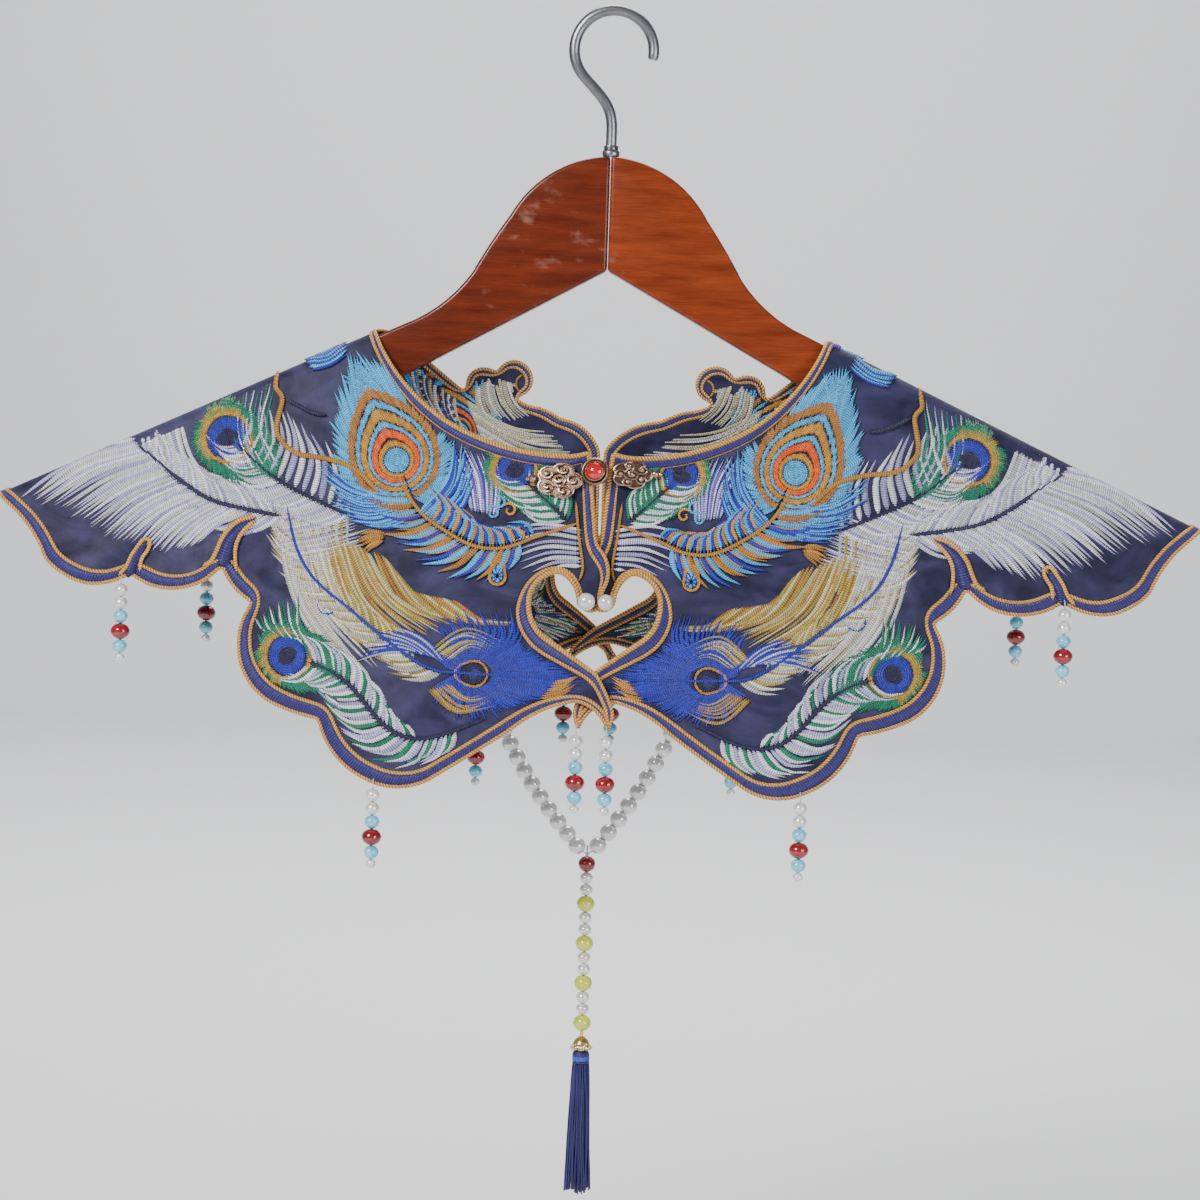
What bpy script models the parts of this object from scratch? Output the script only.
"""A cloud collar cape hanging on its wooden hanger.

The cape is two mirrored halves. Each half is cut flat as one piece of cloth, from the front hem over
the shoulder to the back hem, and is then draped over the shoulder line. The satin edge band lies on
the cloth, and the clasp, the pearls and the bead strings lie on the band.

Frame: metres, +Z up, +X to the viewer's right, -Y to the viewer. The origin is the point inside the
hook where a rail carries the hanger. The tables below are in millimetres. `out` is the distance from
the centre line towards the sleeve, and it is negative where a half crosses the centre line.
"""

import math
from typing import NamedTuple

import bmesh
import bpy
from mathutils import Matrix, Vector

MM = 0.001
GAP = 0.3

# ---- the cloth ----
WALL = 1.2
FOLD_RADIUS = 7.5
SHOULDER_TOP = -106.3
SHOULDER_SLOPE = 0.4656
FLARE_LENGTH = 160.0
FRONT_FLARE = 55.0
BACK_FLARE = 50.0
TIP_FLARE = 20.0
SLEEVE_TIP = 298.0
HALVES_CROSS_FROM, HALVES_CROSS_BY = 105.0, 145.0
HALVES_APART = 1.9
OVERLAP_WIDTH = 60.0
GRID_OUT, GRID_ALONG = 15.0, 15.0
FOLD_LINES = (0.0, 3.0, 6.0, 9.0, 12.0, 18.0, 28.0)
EDGE_STEP = 9.0
EDGE_TURN = math.radians(30)
TURN_OVER, TURN_STEP = 14.0, 3.2

# ---- the edge band ----
BAND_THICK = 1.0
BAND_LIFT = WALL + 0.8
MITRE_LIMIT = 0.5


class Edge(NamedTuple):
    """One arc of the cut edge: where it ends, how far it bows out of the cloth, and the band there."""

    name: str
    out: float
    z: float
    bow: float
    band: float


FRONT_EDGE = (
    Edge("neck point", 110.0, -157.5, 0.0, 4.0),
    Edge("neck side", 72.5, -200.5, -4.4, 5.0),
    Edge("neck front", 14.5, -215.5, -4.0, 6.0),
    Edge("clasp corner", 4.5, -213.0, -0.5, 5.0),
    Edge("front opening", 0.6, -258.0, 0.0, 6.0),
    Edge("scroll side", -2.9, -281.0, 4.8, 3.4),
    Edge("scroll end", 9.4, -287.0, 7.2, 3.4),
    Edge("heart root", 18.0, -273.0, -2.4, 4.0),
    Edge("heart shoulder", 30.5, -287.5, -4.1, 7.5),
    Edge("heart side", 20.5, -304.0, -2.6, 7.5),
    Edge("crossing", -1.5, -319.5, 0.0, 4.5),
    Edge("tip side", -10.0, -337.0, 0.5, 4.0),
    Edge("front tip", -6.5, -348.0, 1.2, 3.4),
    Edge("tip arch", 8.5, -334.0, -2.9, 4.0),
    Edge("belly", 38.5, -349.0, -2.4, 7.5),
    Edge("belly low", 72.0, -371.0, 0.2, 7.5),
    Edge("body point", 106.5, -374.0, 5.0, 7.5),
    Edge("body notch", 130.0, -347.0, 4.3, 7.5),
    Edge("side low", 155.0, -340.5, 1.0, 7.5),
    Edge("side", 172.0, -311.5, 5.0, 7.0),
    Edge("side notch", 166.0, -292.5, 1.7, 7.0),
    Edge("sleeve notch", 181.5, -275.5, 2.2, 7.0),
    Edge("sleeve point", 228.5, -281.0, 9.6, 7.0),
    Edge("sleeve end", 272.0, -275.0, 8.4, 7.0),
    Edge("sleeve tip", 297.6, -244.9, -3.3, 5.0),
)

BACK_EDGE = (
    Edge("neck point", 110.0, -157.5, 0.0, 4.0),
    Edge("curl root", 74.5, -186.0, 0.0, 4.0),
    Edge("small curl", 59.0, -175.5, 7.0, 4.0),
    Edge("large curl", 40.5, -177.0, 7.0, 4.0),
    Edge("curl neck", 49.0, -188.0, 3.0, 4.0),
    Edge("neck hollow", 36.5, -192.0, -1.0, 4.5),
    Edge("neck swell", 24.5, -197.5, 0.5, 5.0),
    Edge("neck notch", 0.6, -213.5, 4.0, 5.0),
    Edge("back opening", 0.6, -256.0, 0.0, 5.0),
    Edge("back strip end", 7.5, -270.0, 6.0, 3.4),
    Edge("back heart root", 15.5, -262.0, -2.0, 4.0),
    Edge("back heart side", 26.0, -278.0, -3.5, 5.5),
    Edge("back heart low", 18.5, -289.5, -2.0, 5.5),
    Edge("back crossing", 0.0, -302.5, 0.0, 4.5),
    Edge("back tip side", -10.5, -313.5, 0.5, 4.0),
    Edge("back tip", -12.5, -324.0, 1.0, 3.4),
    Edge("back tip arch", 6.0, -311.5, -2.4, 4.0),
    Edge("back belly", 28.0, -322.5, -1.5, 7.0),
    Edge("back belly low", 51.0, -341.5, 0.2, 7.5),
    Edge("back body point", 82.0, -344.5, 5.0, 7.5),
    Edge("back body notch", 105.0, -320.0, 4.0, 7.5),
    Edge("back side low", 125.0, -316.5, 1.0, 7.5),
    Edge("back side", 147.0, -289.0, 5.0, 7.0),
    Edge("back side notch", 144.0, -274.0, 1.7, 7.0),
    Edge("back sleeve notch", 162.5, -262.5, 2.0, 7.0),
    Edge("back sleeve point", 205.0, -275.0, 10.0, 7.0),
    Edge("back sleeve end", 262.0, -271.0, 9.0, 7.0),
    Edge("sleeve tip", 297.6, -244.9, -3.0, 5.0),
)


class Stop(NamedTuple):
    """One place along the pointed band end over the front: where its middle is and how wide it is."""

    out: float
    z: float
    width: float


HEM_HOOK = (
    Stop(177.6, -262.6, 6.4),
    Stop(174.6, -258.6, 5.2),
    Stop(170.6, -255.0, 3.8),
    Stop(165.4, -251.4, 1.0),
)


class Fold(NamedTuple):
    """A soft wave that starts at the neck point and grows to the hem."""

    name: str
    hem_out: float
    hem_drop: float
    swell: float
    width: float


FRONT_FOLDS = (
    Fold("body lobe", 92.0, 220.0, 7.0, 42.0),
    Fold("side hollow", 158.0, 160.0, -3.5, 28.0),
    Fold("sleeve lobe", 202.0, 85.0, 4.0, 22.0),
    Fold("sleeve end", 262.0, 55.0, 2.5, 26.0),
)
BACK_FOLDS = (
    Fold("body lobe", 66.0, 205.0, 6.0, 36.0),
    Fold("side hollow", 128.0, 165.0, -3.5, 28.0),
    Fold("sleeve lobe", 184.0, 85.0, 3.5, 25.0),
    Fold("sleeve end", 248.0, 55.0, 2.5, 27.0),
)


class Side(NamedTuple):
    """How one half hangs: its sign along X, how far it lies outside, and how far its hems are pulled."""

    name: str
    sign: float
    outside: float
    body_pull: float
    back_pull: float


LEFT = Side("left", -1.0, HALVES_APART, 2.5, -6.0)
RIGHT = Side("right", 1.0, -HALVES_APART, -2.5, 6.0)
SIDES = (LEFT, RIGHT)

# ---- the hanger ----
HANGER_THICK = 11.0
HANGER_EDGE = 3.5
MITRE_GAP = 0.15
HANGER_OUTLINE = (
    Edge("crown", MITRE_GAP, -68.8, 0.0, 0.0),
    Edge("dome", 48.5, -99.0, -7.5, 0.0),
    Edge("waist", 66.0, -127.0, -0.5, 0.0),
    Edge("arm top", 94.0, -151.5, 2.4, 0.0),
    Edge("end top", 196.0, -199.0, 0.0, 0.0),
    Edge("end foot", 191.0, -222.0, -11.0, 0.0),
    Edge("arm foot", 98.0, -179.0, 0.0, 0.0),
    Edge("mitre foot", MITRE_GAP, -124.8, 0.0, 0.0),
)
FERRULE_RADIUS, FERRULE_HEIGHT = 4.3, 5.2
HOOK_WIRE = 5.4
HOOK_BEND = 19.5
HOOK_FROM, HOOK_TO = math.radians(222), math.radians(-12)

# ---- pearls, beads, clasp and tassel ----
THREAD = 0.6
SEWN_ON = 2.5
BEAD_SIDES = 6
BEAD_FORM = ((0.07, 0.42), (0.32, 1.0), (0.68, 1.0), (0.93, 0.42))


class Bead(NamedTuple):
    """One bead of a string: its radius and its height."""

    radius: float
    height: float


PEARL = Bead(3.3, 6.3)
BLUE = Bead(3.6, 6.6)
RED = Bead(4.8, 8.0)
SEED = Bead(2.3, 4.4)
STRAND = (PEARL, PEARL, BLUE, RED, BLUE, SEED)


class Strand(NamedTuple):
    """Where a bead string hangs: the layer, the side, and its top bead's middle, or the hem if lower."""

    name: str
    layer: int
    side: Side
    out: float
    z: float


FRONT, BACK = 1, -1
STRANDS = (
    Strand("front_sleeve_left", FRONT, LEFT, 232.5, -282.0),
    Strand("front_sleeve_right", FRONT, RIGHT, 228.5, -284.5),
    Strand("front_body_left", FRONT, LEFT, 104.0, -378.0),
    Strand("front_body_right", FRONT, RIGHT, 100.0, -376.5),
    Strand("front_tip_left", FRONT, LEFT, -6.6, -350.5),
    Strand("front_tip_right", FRONT, RIGHT, -7.9, -347.7),
    Strand("back_sleeve_left", BACK, LEFT, 197.0, -278.5),
    Strand("back_sleeve_right", BACK, RIGHT, 211.5, -279.0),
    Strand("back_body_left", BACK, LEFT, 60.0, -353.0),
    Strand("back_body_right", BACK, RIGHT, 72.0, -354.5),
    Strand("back_tip_left", BACK, LEFT, -8.7, -327.0),
    Strand("back_tip_right", BACK, RIGHT, -15.5, -327.5),
)

SCROLL_PEARL_OUT, SCROLL_PEARL_Z = 4.6, -286.2
SCROLL_PEARL_RADIUS = {"left": 4.5, "right": 4.1}

CHAIN_PEARL = 4.3
CHAIN_PEARLS = 11
CHAIN_MIDDLE = -1.0
CHAIN_TOP_OUT = 50.0
CHAIN_FOOT = (2.8, -420.0)
CHAIN_SAG = 3.8
CHAIN_Y = 50.5
PENDANT_TOP_Z = -422.0
PENDANT_THREAD = 5.5
PENDANT_PEARL = Bead(3.3, 6.1)
PENDANT_ROUND = Bead(4.7, 8.5)
PENDANT_RED = Bead(4.4, 8.5)
PENDANT_ROD = Bead(1.2, 2.6)
PENDANT = (PENDANT_RED,) + 4 * (PENDANT_PEARL, PENDANT_PEARL, PENDANT_ROUND) + (PENDANT_ROD,)
CAP_RADIUS, CAP_HEIGHT = 5.4, 6.5
TASSEL_HEAD_RADIUS, TASSEL_HEAD_HEIGHT = 4.6, 7.0
TASSEL_LENGTH, TASSEL_SPREAD = 68.0, 1.75
TASSEL_RINGS, TASSEL_SECTORS = 3, 12

CLASP_OUT, CLASP_Z = -2.2, -224.5
BOSS_RADIUS, BOSS_THICK = 6.7, 2.4
CABOCHON_RADIUS, CABOCHON_HEIGHT = 3.9, 2.8
WING_THICK, WING_LOBES = 1.8, 5
WING_RADII = {"left": (11.5, 9.0), "right": (10.0, 7.0)}
WING_PLACE = {"left": (19.6, -229.0), "right": (14.8, -224.8)}


# ------------------------------------------------------------------ shared helpers


def start_scene():
    """Empty the scene and make the two collections."""
    for old in list(bpy.data.objects):
        bpy.data.objects.remove(old, do_unlink=True)
    made = []
    for name in ("cloud_collar_cape", "cutters"):
        collection = bpy.data.collections.new(name)
        bpy.context.scene.collection.children.link(collection)
        made.append(collection)
    return made


PARTS, CUTTERS = start_scene()


def material(name, colour, roughness, metallic=0.0):
    """A plain Principled material."""
    made = bpy.data.materials.new(name)
    made.use_nodes = True
    shader = made.node_tree.nodes["Principled BSDF"]
    shader.inputs["Base Color"].default_value = (*colour, 1.0)
    shader.inputs["Roughness"].default_value = roughness
    shader.inputs["Metallic"].default_value = metallic
    return made


ORGANZA = material("navy organza", (0.035, 0.035, 0.09), 0.6)
SATIN = material("navy satin", (0.05, 0.04, 0.22), 0.4)
WOOD = material("varnished wood", (0.2, 0.045, 0.02), 0.3)
STEEL = material("dark steel", (0.12, 0.12, 0.13), 0.35, 1.0)
PEWTER = material("old gold pewter", (0.33, 0.25, 0.17), 0.4, 1.0)
STONE = material("red stone", (0.55, 0.01, 0.02), 0.1)
PEARL_WHITE = material("pearl", (0.8, 0.8, 0.78), 0.2)
GOLD = material("gold cap", (0.6, 0.4, 0.15), 0.35, 1.0)
SILK = material("navy silk", (0.02, 0.02, 0.1), 0.6)


def smoothstep(value, low, high):
    """0 below low, 1 above high, and a smooth rise between."""
    share = min(max((value - low) / (high - low), 0.0), 1.0)
    return share * share * (3.0 - 2.0 * share)


def add_object(name, mesh, finish, collection=PARTS, smooth_below=40.0):
    """An object of this mesh with one material, shaded smooth up to an angle."""
    if finish:
        mesh.materials.append(finish)
    made = bpy.data.objects.new(name, mesh)
    collection.objects.link(made)
    mesh.shade_smooth()
    mesh.set_sharp_from_angle(angle=math.radians(smooth_below))
    return made


def mesh_from(name, bm):
    """A mesh of this bmesh with its faces turned outwards."""
    bmesh.ops.recalc_face_normals(bm, faces=bm.faces)
    if bm.calc_volume(signed=True) < 0.0:
        bmesh.ops.reverse_faces(bm, faces=bm.faces)
    mesh = bpy.data.meshes.new(name)
    bm.to_mesh(mesh)
    bm.free()
    return mesh


def evaluated_mesh(source):
    """The mesh that an object's modifiers or its curve make, with doubled points merged."""
    bpy.context.view_layer.update()
    graph = bpy.context.evaluated_depsgraph_get()
    mesh = bpy.data.meshes.new_from_object(source.evaluated_get(graph))
    bm = bmesh.new()
    bm.from_mesh(mesh)
    bmesh.ops.remove_doubles(bm, verts=bm.verts, dist=1e-6)
    bm.to_mesh(mesh)
    bm.free()
    return mesh


def arc_points(start, end, bow):
    """Points after `start` up to `end` on an arc that bows by `bow` to the right of the way."""
    (x0, z0), (x1, z1) = start, end
    chord = math.hypot(x1 - x0, z1 - z0)
    if abs(bow) < 0.05:
        steps = max(1, round(chord / (2.0 * EDGE_STEP)))
        return [(x0 + (x1 - x0) * i / steps, z0 + (z1 - z0) * i / steps) for i in range(1, steps + 1)]
    radius = chord * chord / (8.0 * abs(bow)) + abs(bow) / 2.0
    half_turn = math.asin(min(1.0, chord / (2.0 * radius)))
    if abs(bow) > chord / 2.0:
        half_turn = math.pi - half_turn
    steps = max(2, math.ceil(2.0 * half_turn / EDGE_TURN), round(2.0 * half_turn * radius / EDGE_STEP))
    right = Vector(((z1 - z0) / chord, -(x1 - x0) / chord)) * math.copysign(1.0, bow)
    centre = Vector(((x0 + x1) / 2.0, (z0 + z1) / 2.0)) + right * (abs(bow) - radius)
    from_centre = Vector((x0, z0)) - centre
    points = []
    for i in range(1, steps + 1):
        turn = Matrix.Rotation(-math.copysign(2.0 * half_turn * i / steps, -bow), 2)
        points.append(tuple(centre + turn @ from_centre))
    return points


def rounded_outline(rows):
    """The points of a closed outline whose rows are arcs."""
    points = [(rows[0].out, rows[0].z)]
    for row in rows[1:]:
        points += arc_points(points[-1], (row.out, row.z), row.bow)
    return points


def flat_solid(name, points, low, high):
    """A closed outline in the XY plane, filled and extruded from `low` to `high`."""
    curve = bpy.data.curves.new(name, "CURVE")
    curve.dimensions = "2D"
    curve.fill_mode = "BOTH"
    curve.extrude = (high - low) / 2.0 * MM
    spline = curve.splines.new("POLY")
    spline.points.add(len(points) - 1)
    for point, (x, y) in zip(spline.points, points):
        point.co = (x * MM, y * MM, 0.0, 1.0)
    spline.use_cyclic_u = True
    made = bpy.data.objects.new(name, curve)
    CUTTERS.objects.link(made)
    bm = bmesh.new()
    bm.from_mesh(evaluated_mesh(made))
    bpy.data.objects.remove(made, do_unlink=True)
    bmesh.ops.dissolve_limit(bm, angle_limit=math.radians(0.2), verts=bm.verts, edges=bm.edges)
    bmesh.ops.translate(bm, verts=bm.verts, vec=(0.0, 0.0, (low + high) / 2.0 * MM))
    return mesh_from(name, bm)


def turned(name, profile, finish, place, steps=BEAD_SIDES, smooth_below=80.0):
    """A profile of (radius, height) rows, top to bottom, turned about the vertical through `place`."""
    mesh = bpy.data.meshes.new(name)
    mesh.from_pydata(
        [(radius * MM, 0.0, height * MM) for radius, height in profile],
        [(i, i + 1) for i in range(len(profile) - 1)],
        [],
    )
    made = add_object(name, mesh, finish, smooth_below=smooth_below)
    screw = made.modifiers.new("turn", "SCREW")
    screw.axis = "Z"
    screw.steps = screw.render_steps = steps
    screw.use_merge_vertices = True
    screw.merge_threshold = 0.00001
    screw.use_smooth_shade = True
    made.location = Vector(place) * MM
    return made


# ------------------------------------------------------------------ the drape of the cloth


def shoulder_z(out):
    """Height of the shoulder fold, a straight line sloping out to the sleeve tip."""
    return SHOULDER_TOP - SHOULDER_SLOPE * out


def fold_swell(layer, out, drop):
    """How far the waves push the cloth outwards."""
    total = 0.0
    for fold in FRONT_FOLDS if layer == FRONT else BACK_FOLDS:
        reach = min(drop / fold.hem_drop, 1.2)
        middle = 110.0 + (fold.hem_out - 110.0) * reach
        width = fold.width * (0.35 + 0.65 * reach)
        grow = smoothstep(reach, 0.15, 1.0)
        total += fold.swell * grow * math.exp(-(((out - middle) / width) ** 2))
    return total


def depth(layer, out, drop):
    """Distance of the cloth from the hanger's middle plane, this far below the end of the fold."""
    flare = FRONT_FLARE if layer == FRONT else BACK_FLARE
    flare = TIP_FLARE + (flare - TIP_FLARE) * smoothstep(SLEEVE_TIP - out, 0.0, 200.0)
    return flare, flare * (1.0 - math.exp(-drop / FLARE_LENGTH)) + fold_swell(layer, out, drop)


def draped(side, out, along):
    """The point of the cloth's inner face: `along` runs from the shoulder, down the front if positive."""
    layer = FRONT if along >= 0.0 else BACK
    flare, _ = depth(layer, out, 0.0)
    lean = math.atan(flare / FLARE_LENGTH)
    turn_end = math.pi / 2.0 - lean
    arc = FOLD_RADIUS * turn_end
    if abs(along) <= arc:
        turn = abs(along) / FOLD_RADIUS
        drop = FOLD_RADIUS * (1.0 - math.cos(turn))
        away = FOLD_RADIUS * math.sin(turn)
    else:
        below = abs(along) - arc
        drop = FOLD_RADIUS * (1.0 - math.cos(turn_end)) + below
        away = FOLD_RADIUS * math.sin(turn_end) + depth(layer, out, below)[1]
    overlap = smoothstep(drop, HALVES_CROSS_FROM, HALVES_CROSS_BY) * (1.0 - smoothstep(out, 12.0, OVERLAP_WIDTH))
    away += side.outside * overlap
    return Vector((side.sign * out, -layer * away, shoulder_z(out) - drop))


def along_of(layer, out, z):
    """The distance along the cloth at which it has this height."""
    drop = max(0.0, shoulder_z(out) - z)
    flare, _ = depth(layer, out, 0.0)
    turn_end = math.pi / 2.0 - math.atan(flare / FLARE_LENGTH)
    arc_drop = FOLD_RADIUS * (1.0 - math.cos(turn_end))
    if drop <= arc_drop:
        return layer * FOLD_RADIUS * math.acos(1.0 - drop / FOLD_RADIUS)
    return layer * (FOLD_RADIUS * turn_end + drop - arc_drop)


def lifted(side, out, along, lift):
    """A point this far outside the cloth's inner face."""
    step = 0.5
    across = draped(side, out + step, along) - draped(side, out - step, along)
    down = draped(side, out, along + step) - draped(side, out, along - step)
    normal = across.cross(down).normalized() * -side.sign
    return (draped(side, out, along) + normal * lift) * MM


def cloth_point(side, layer, out, z, lift):
    """A point this far outside the cloth, given by its height."""
    return lifted(side, out, along_of(layer, out, z), lift)


def hung(side, layer, out):
    """`out` after the half has been pulled sideways as it hangs."""
    if layer == FRONT:
        return out + side.body_pull * math.sin(math.pi * min(max(out / 240.0, 0.0), 1.0))
    return out + side.back_pull * math.tanh(out / 30.0) * (1.0 - smoothstep(out, 225.0, 285.0))


def cut_edge(side):
    """The whole cut edge of a half, as (out, along, band) rows, round from the neck point."""
    rows = []
    for layer, table in ((FRONT, FRONT_EDGE), (BACK, BACK_EDGE)):
        run = [(table[0].out, table[0].z, table[0].band)]
        for before, row in zip(table, table[1:]):
            points = arc_points((before.out, before.z), (row.out, row.z), row.bow)
            for i, (out, z) in enumerate(points, 1):
                share = i / len(points)
                run.append((out, z, before.band + (row.band - before.band) * share))
        run = [(hung(side, layer, out), z, band) for out, z, band in run]
        rows.append([(out, along_of(layer, out, z), band) for out, z, band in run])
    front, back = rows
    return finer_turn(front + back[-2:0:-1])


def finer_turn(run):
    """More points round the closed edge where it turns over the shoulder fold."""
    finer = []
    for before, after in zip(run, run[1:] + run[:1]):
        steps = 1
        if min(abs(before[1]), abs(after[1])) < TURN_OVER:
            steps = max(1, math.ceil(math.dist(before[:2], after[:2]) / TURN_STEP))
        for i in range(1, steps + 1):
            finer.append(tuple(a + (b - a) * i / steps for a, b in zip(before, after)))
    return finer


def inset_edge(rows, share):
    """The cut edge moved into the cloth by this share of the band's width, with mitred corners."""
    inner = []
    count = len(rows)
    for i in range(count):
        here = Vector(rows[i][:2])
        before = (here - Vector(rows[i - 1][:2])).normalized()
        after = (Vector(rows[(i + 1) % count][:2]) - here).normalized()
        into = Vector((-before.y, before.x)) + Vector((-after.y, after.x))
        cosine = max(into.length / 2.0, MITRE_LIMIT)
        inner.append(here - into.normalized() * rows[i][2] * share / cosine)
    return inner


# ------------------------------------------------------------------ the cape


def cloth_half(side):
    """One half of the collar: a flat gridded slab, cut to the edge and draped."""
    name = f"cape_{side.name}"
    outline = [(out, along) for out, along, _ in cut_edge(side)]
    outs = [out for out, _ in outline]
    alongs = [along for _, along in outline]
    low = Vector((min(outs) - 5.0, min(alongs) - 5.0, 0.0))
    high = Vector((max(outs) + 5.0, max(alongs) + 5.0, WALL))
    bm = bmesh.new()
    bmesh.ops.create_cube(bm, size=1.0)
    size = high - low
    bmesh.ops.transform(bm, verts=bm.verts, matrix=Matrix.Diagonal((*size, 1.0)))
    bmesh.ops.translate(bm, verts=bm.verts, vec=(low + high) / 2.0)
    lines = [line * sign for line in FOLD_LINES for sign in (1.0, -1.0)]
    lines += [FOLD_LINES[-1] + GRID_ALONG * i for i in range(1, 20)]
    lines += [-FOLD_LINES[-1] - GRID_ALONG * i for i in range(1, 20)]
    cuts = [((0.0, line, 0.0), (0.0, 1.0, 0.0)) for line in sorted(set(lines))]
    cuts += [((GRID_OUT * (i - 0.5), 0.0, 0.0), (1.0, 0.0, 0.0)) for i in range(22)]
    for place, normal in cuts:
        bmesh.ops.bisect_plane(bm, geom=bm.verts[:] + bm.edges[:] + bm.faces[:], plane_co=place, plane_no=normal)
    bmesh.ops.scale(bm, verts=bm.verts, vec=(MM, MM, MM))
    slab = add_object(name, mesh_from(name, bm), ORGANZA)
    pattern = add_object(f"pattern_{side.name}", flat_solid("pattern", outline, -4.0, WALL + 4.0), None, CUTTERS)
    pattern.hide_render = True
    pattern.display_type = "WIRE"
    cut = slab.modifiers.new("cut to the pattern", "BOOLEAN")
    cut.operation = "INTERSECT"
    cut.object = pattern
    flat = evaluated_mesh(slab)
    slab.modifiers.clear()
    bpy.data.objects.remove(pattern, do_unlink=True)
    bm = bmesh.new()
    bm.from_mesh(flat)
    bmesh.ops.triangulate(bm, faces=bm.faces)
    for vert in bm.verts:
        vert.co = lifted(side, vert.co.x / MM, vert.co.y / MM, vert.co.z / MM)
    old = slab.data
    slab.data = mesh_from(name, bm)
    slab.data.materials.append(ORGANZA)
    slab.data.shade_smooth()
    slab.data.set_sharp_from_angle(angle=math.radians(50))
    bpy.data.meshes.remove(old)
    return slab


def edge_band(side):
    """The satin band with its cords: a four-sided loft that follows the cut edge all round."""
    rows = cut_edge(side)
    outer = inset_edge(rows, 0.02)
    inner = inset_edge(rows, 1.0)
    bm = bmesh.new()
    loops = []
    for line, lift in ((outer, 0.0), (outer, BAND_THICK), (inner, BAND_THICK), (inner, 0.0)):
        loops.append([bm.verts.new(lifted(side, p.x, p.y, BAND_LIFT + lift)) for p in line])
    count = len(rows)
    for i in range(count):
        for a, b in zip(loops, loops[1:] + loops[:1]):
            j = (i + 1) % count
            bm.faces.new((a[i], a[j], b[j], b[i]))
    return add_object(f"edge_band_{side.name}", mesh_from("edge_band", bm), SATIN)


def hem_hook(side):
    """The pointed end of the band that runs up over the front."""
    bm = bmesh.new()
    loops = []
    for corner, lift in ((-0.5, 0.0), (-0.5, BAND_THICK), (0.5, BAND_THICK), (0.5, 0.0)):
        loop = []
        for i, stop in enumerate(HEM_HOOK):
            before = Vector(HEM_HOOK[max(i - 1, 0)][:2])
            after = Vector(HEM_HOOK[min(i + 1, len(HEM_HOOK) - 1)][:2])
            across = (after - before).orthogonal().normalized()
            out, z = Vector(stop[:2]) + across * stop.width * corner
            loop.append(bm.verts.new(cloth_point(side, FRONT, hung(side, FRONT, out), z, BAND_LIFT + lift)))
        loops.append(loop)
    for a, b in zip(loops, loops[1:] + loops[:1]):
        for i in range(len(HEM_HOOK) - 1):
            bm.faces.new((a[i], a[i + 1], b[i + 1], b[i]))
    for end in (0, -1):
        bm.faces.new([loop[end] for loop in loops])
    return add_object(f"hem_hook_{side.name}", mesh_from("hem_hook", bm), SATIN)


def build_cape():
    """Both halves with their bands."""
    for side in SIDES:
        cloth_half(side)
        edge_band(side)
        hem_hook(side)


# ------------------------------------------------------------------ beads, pearls and tassel


def bead_profile(beads, thread):
    """The profile of a string of beads, down from zero, with this much thread above them."""
    profile = [(0.0, thread), (THREAD, thread)]
    height = 0.0
    for bead in beads:
        for share, width in BEAD_FORM:
            profile.append((max(bead.radius * width, THREAD), height - bead.height * share))
        height -= bead.height
    return profile + [(0.0, height)], height


def hem_z(side, layer, out):
    """Height of the lowest part of the cut edge that a bead at this place would meet."""
    lowest = 0.0
    rows = cut_edge(side)
    for before, after in zip(rows[-1:] + rows, rows):
        for share in (0.25, 0.5, 0.75, 1.0):
            near = before[0] + (after[0] - before[0]) * share
            along = before[1] + (after[1] - before[1]) * share
            if along * layer > 0.0 and abs(near - out) <= PEARL.radius:
                lowest = min(lowest, draped(side, near, along).z)
    return lowest


def sewn_y(side, layer, out, hem):
    """Y of a thread that is sewn on the band at the hem."""
    return cloth_point(side, layer, out, hem, BAND_LIFT + BAND_THICK + 1.7 * GAP + THREAD).y / MM


def build_strands():
    """The bead strings, each sewn by its thread to the band at a point of the hem."""
    for strand in STRANDS:
        side = strand.side
        hem = hem_z(side, strand.layer, strand.out)
        top = min(strand.z + PEARL.height / 2.0, hem - 4.0 * GAP)
        profile, _ = bead_profile(STRAND, hem + SEWN_ON - top)
        spot = (side.sign * strand.out, sewn_y(side, strand.layer, strand.out, hem), top)
        turned(f"strand_{strand.name}", profile, PEARL_WHITE, spot)


def build_scroll_pearls():
    """The two pearls over the heart, both as far out as the scroll end of the outer, left half."""
    for side in SIDES:
        radius = SCROLL_PEARL_RADIUS[side.name]
        lift = BAND_LIFT + BAND_THICK + GAP + radius
        bm = bmesh.new()
        bmesh.ops.create_icosphere(bm, subdivisions=2, radius=radius * MM)
        pearl = add_object(f"scroll_pearl_{side.name}", mesh_from("pearl", bm), PEARL_WHITE)
        out = LEFT.sign * side.sign * SCROLL_PEARL_OUT
        pearl.location = cloth_point(LEFT, FRONT, out, SCROLL_PEARL_Z, lift)


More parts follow.
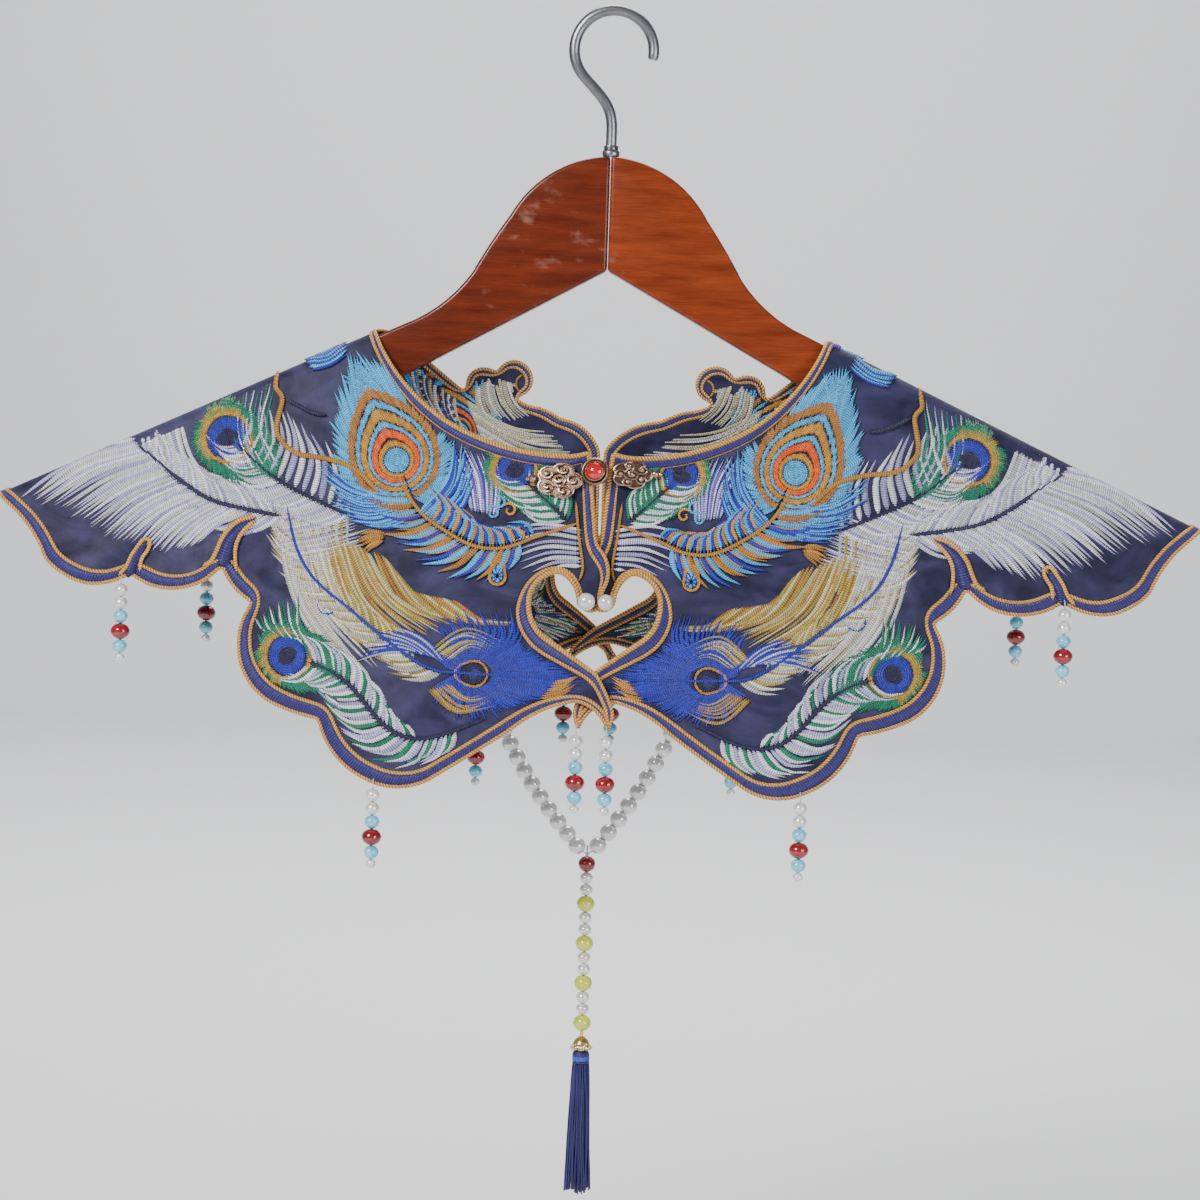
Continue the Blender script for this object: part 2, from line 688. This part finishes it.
def build_chain():
    """The two arms of the pearl chain, from the back hem to the pendant."""
    for side in SIDES:
        curve = bpy.data.curves.new("chain", "CURVE")
        curve.dimensions = "3D"
        curve.bevel_depth = MM
        curve.bevel_resolution = 1
        curve.use_fill_caps = True
        spline = curve.splines.new("POLY")
        stations = []
        for pearl in range(CHAIN_PEARLS):
            for share, width in BEAD_FORM:
                stations.append(((pearl + share) / CHAIN_PEARLS, width))
        spline.points.add(len(stations))
        hem_out = CHAIN_TOP_OUT + side.sign * CHAIN_MIDDLE
        hem = hem_z(side, BACK, hem_out)
        hem_y = sewn_y(side, BACK, hem_out, hem)
        top, foot = Vector((CHAIN_TOP_OUT, hem - 4.0 * GAP)), Vector(CHAIN_FOOT)
        bulge = (foot - top).orthogonal().normalized() * CHAIN_SAG
        spots = [(top.x, hem_y, hem + SEWN_ON, THREAD)]
        for share, width in stations:
            out, z = top.lerp(foot, share) + bulge * math.sin(math.pi * share)
            spots.append((out, hem_y + (CHAIN_Y - hem_y) * share, z, CHAIN_PEARL * width))
        for point, (out, y, z, radius) in zip(spline.points, spots):
            point.co = ((CHAIN_MIDDLE + side.sign * out) * MM, y * MM, z * MM, 1.0)
            point.radius = radius
        made = bpy.data.objects.new(f"chain_{side.name}", curve)
        PARTS.objects.link(made)
        mesh = evaluated_mesh(made)
        bpy.data.objects.remove(made, do_unlink=True)
        add_object(f"pearl_chain_{side.name}", mesh, PEARL_WHITE, smooth_below=80.0)


def build_pendant():
    """The beaded pendant, its cap and its tassel."""
    profile, foot = bead_profile(PENDANT, PENDANT_THREAD)
    turned("pendant_beads", profile, PEARL_WHITE, (CHAIN_MIDDLE, CHAIN_Y, PENDANT_TOP_Z))
    cap_top = PENDANT_TOP_Z + foot - GAP
    cap = [(0.0, 0.0), (1.8, -0.2), (3.6, -1.6), (CAP_RADIUS, -CAP_HEIGHT), (0.0, -CAP_HEIGHT)]
    turned("bead_cap", cap, GOLD, (CHAIN_MIDDLE, CHAIN_Y, cap_top), steps=10)
    build_tassel(cap_top - CAP_HEIGHT - GAP)


def build_tassel(top):
    """A tassel whose strands grow out of the under side of its bound head."""
    bm = bmesh.new()
    rings = []
    for ring in range(TASSEL_RINGS + 1):
        radius = TASSEL_HEAD_RADIUS * (0.12 + 0.88 * ring / TASSEL_RINGS)
        turns = [math.tau * i / TASSEL_SECTORS for i in range(TASSEL_SECTORS)]
        points = [(radius * math.cos(turn), radius * math.sin(turn), -TASSEL_HEAD_HEIGHT) for turn in turns]
        rings.append([bm.verts.new(point) for point in points])
    roots = []
    for inner, outer in zip(rings, rings[1:]):
        for i in range(TASSEL_SECTORS):
            j = (i + 1) % TASSEL_SECTORS
            roots.append(bm.faces.new((inner[i], inner[j], outer[j], outer[i])))
    bm.faces.new(rings[0])
    rim = [edge for edge in bm.edges if edge.is_boundary]
    grown = bmesh.ops.extrude_edge_only(bm, edges=rim)["geom"]
    bmesh.ops.translate(bm, verts=[g for g in grown if isinstance(g, bmesh.types.BMVert)], vec=(0, 0, TASSEL_HEAD_HEIGHT))
    bmesh.ops.holes_fill(bm, edges=[edge for edge in bm.edges if edge.is_boundary])
    bmesh.ops.recalc_face_normals(bm, faces=bm.faces)
    bmesh.ops.inset_individual(bm, faces=roots, thickness=0.12, use_even_offset=True)
    tips = bmesh.ops.extrude_discrete_faces(bm, faces=roots)["faces"]
    for number, tip in enumerate(tips):
        length = TASSEL_LENGTH * (1.0 - 0.06 * math.sin(number * 2.4) ** 2)
        middle = tip.calc_center_median()
        reach = Vector((middle.x, middle.y, 0.0)) * (TASSEL_SPREAD - 1.0)
        bmesh.ops.translate(bm, verts=tip.verts, vec=reach + Vector((0.0, 0.0, -length)))
    bmesh.ops.scale(bm, verts=bm.verts, vec=(MM, MM, MM))
    bmesh.ops.translate(bm, verts=bm.verts, vec=Vector((CHAIN_MIDDLE, CHAIN_Y, top)) * MM)
    add_object("tassel", mesh_from("tassel", bm), SILK)


# ------------------------------------------------------------------ the clasp


def build_clasp():
    """The cloud-shaped metal clasp: a round boss with a red stone between two scalloped wings."""
    lift = BAND_LIFT + BAND_THICK + GAP
    for side in SIDES:
        across, high = WING_RADII[side.name]
        out, z = WING_PLACE[side.name]
        outline = []
        for i in range(40):
            turn = math.tau * i / 40
            lobe = 1.0 - 0.2 * (1.0 - abs(math.cos(WING_LOBES * turn / 2.0))) ** 1.5
            outline.append((across * lobe * math.cos(turn), high * lobe * math.sin(turn)))
        mesh = flat_solid("wing", outline, 0.0, WING_THICK)
        wing = add_object(f"clasp_wing_{side.name}", mesh, PEWTER)
        wing.matrix_world = clasp_place(side, out, z, lift)
    boss = [(0.0, BOSS_THICK), (4.6, BOSS_THICK), (BOSS_RADIUS - 0.5, BOSS_THICK), (BOSS_RADIUS, 0.9)]
    boss += [(BOSS_RADIUS, 0.0), (0.0, 0.0)]
    place = clasp_place(LEFT, -CLASP_OUT, CLASP_Z, lift + WING_THICK + GAP)
    turned("clasp_boss", boss, PEWTER, (0.0, 0.0, 0.0), steps=20, smooth_below=35.0).matrix_world = place
    stone = [(0.0, CABOCHON_HEIGHT), (0.55 * CABOCHON_RADIUS, 0.86 * CABOCHON_HEIGHT)]
    stone += [(0.88 * CABOCHON_RADIUS, 0.5 * CABOCHON_HEIGHT), (CABOCHON_RADIUS, 0.0), (0.0, 0.0)]
    raised = place @ Matrix.Translation((0.0, 0.0, (BOSS_THICK + GAP) * MM))
    turned("clasp_cabochon", stone, STONE, (0.0, 0.0, 0.0), steps=12).matrix_world = raised


def clasp_place(side, out, z, lift):
    """A frame on the cloth whose Z axis points out of it and whose Y axis points up."""
    spot = cloth_point(side, FRONT, out, z, lift)
    up = (cloth_point(side, FRONT, out, z + 3.0, lift) - spot).normalized()
    across = (cloth_point(side, FRONT, out + 3.0, z, lift) - spot).normalized() * side.sign
    facing = across.cross(up).normalized()
    across = up.cross(facing)
    frame = Matrix((across, up, facing)).transposed().to_4x4()
    return Matrix.Translation(spot) @ frame


# ------------------------------------------------------------------ the hanger


def build_hanger():
    """The two mitred arms, the metal collar and the hook."""
    for side in SIDES:
        outline = rounded_outline(HANGER_OUTLINE)
        mesh = flat_solid("arm", outline, -HANGER_THICK / 2.0, HANGER_THICK / 2.0)
        mesh.transform(Matrix.Rotation(math.pi / 2.0, 4, "X"))
        if side.sign < 0.0:
            mesh.transform(Matrix.Diagonal((-1.0, 1.0, 1.0, 1.0)))
            mesh.flip_normals()
        arm = add_object(f"hanger_arm_{side.name}", mesh, WOOD)
        bevel = arm.modifiers.new("rounded edges", "BEVEL")
        bevel.width = HANGER_EDGE * MM
        bevel.segments = 2
        bevel.limit_method = "ANGLE"
        bevel.angle_limit = math.radians(60)
        bevel.harden_normals = False
    crown = HANGER_OUTLINE[0].z + GAP
    collar = [(0.0, FERRULE_HEIGHT), (FERRULE_RADIUS - 0.6, FERRULE_HEIGHT)]
    collar += [(FERRULE_RADIUS, FERRULE_HEIGHT - 0.6), (FERRULE_RADIUS, 0.0), (0.0, 0.0)]
    turned("ferrule", collar, STEEL, (0.0, 0.0, crown), steps=16, smooth_below=35.0)
    build_hook(crown + FERRULE_HEIGHT + GAP)


def build_hook(foot):
    """The hook: a straight shank, an S-bend and most of a circle over the rail."""
    middle = HOOK_WIRE / 2.0 - HOOK_BEND
    start = Vector((HOOK_BEND * math.cos(HOOK_FROM), middle + HOOK_BEND * math.sin(HOOK_FROM)))
    heading = Vector((-math.sin(HOOK_FROM), math.cos(HOOK_FROM)))
    points = [Vector((0.0, foot)), Vector((0.0, foot + 8.0))]
    first, last = points[-1], start
    for i in range(1, 7):
        share = i / 6
        one = first.lerp(first + Vector((0.0, 12.0)), share)
        two = (first + Vector((0.0, 12.0))).lerp(last + heading * 12.0, share)
        three = (last + heading * 12.0).lerp(last, share)
        points.append(one.lerp(two, share).lerp(two.lerp(three, share), share))
    turns = 16
    for i in range(1, turns + 1):
        turn = HOOK_FROM + (HOOK_TO - HOOK_FROM) * i / turns
        points.append(Vector((HOOK_BEND * math.cos(turn), middle + HOOK_BEND * math.sin(turn))))
    curve = bpy.data.curves.new("hook", "CURVE")
    curve.dimensions = "3D"
    curve.bevel_depth = HOOK_WIRE / 2.0 * MM
    curve.bevel_resolution = 2
    curve.use_fill_caps = True
    spline = curve.splines.new("POLY")
    spline.points.add(len(points) - 1)
    for point, spot in zip(spline.points, points):
        point.co = (spot.x * MM, 0.0, spot.y * MM, 1.0)
    made = bpy.data.objects.new("hook_wire", curve)
    PARTS.objects.link(made)
    mesh = evaluated_mesh(made)
    bpy.data.objects.remove(made, do_unlink=True)
    add_object("hook", mesh, STEEL, smooth_below=80.0)


build_hanger()
build_cape()
build_clasp()
build_scroll_pearls()
build_strands()
build_chain()
build_pendant()
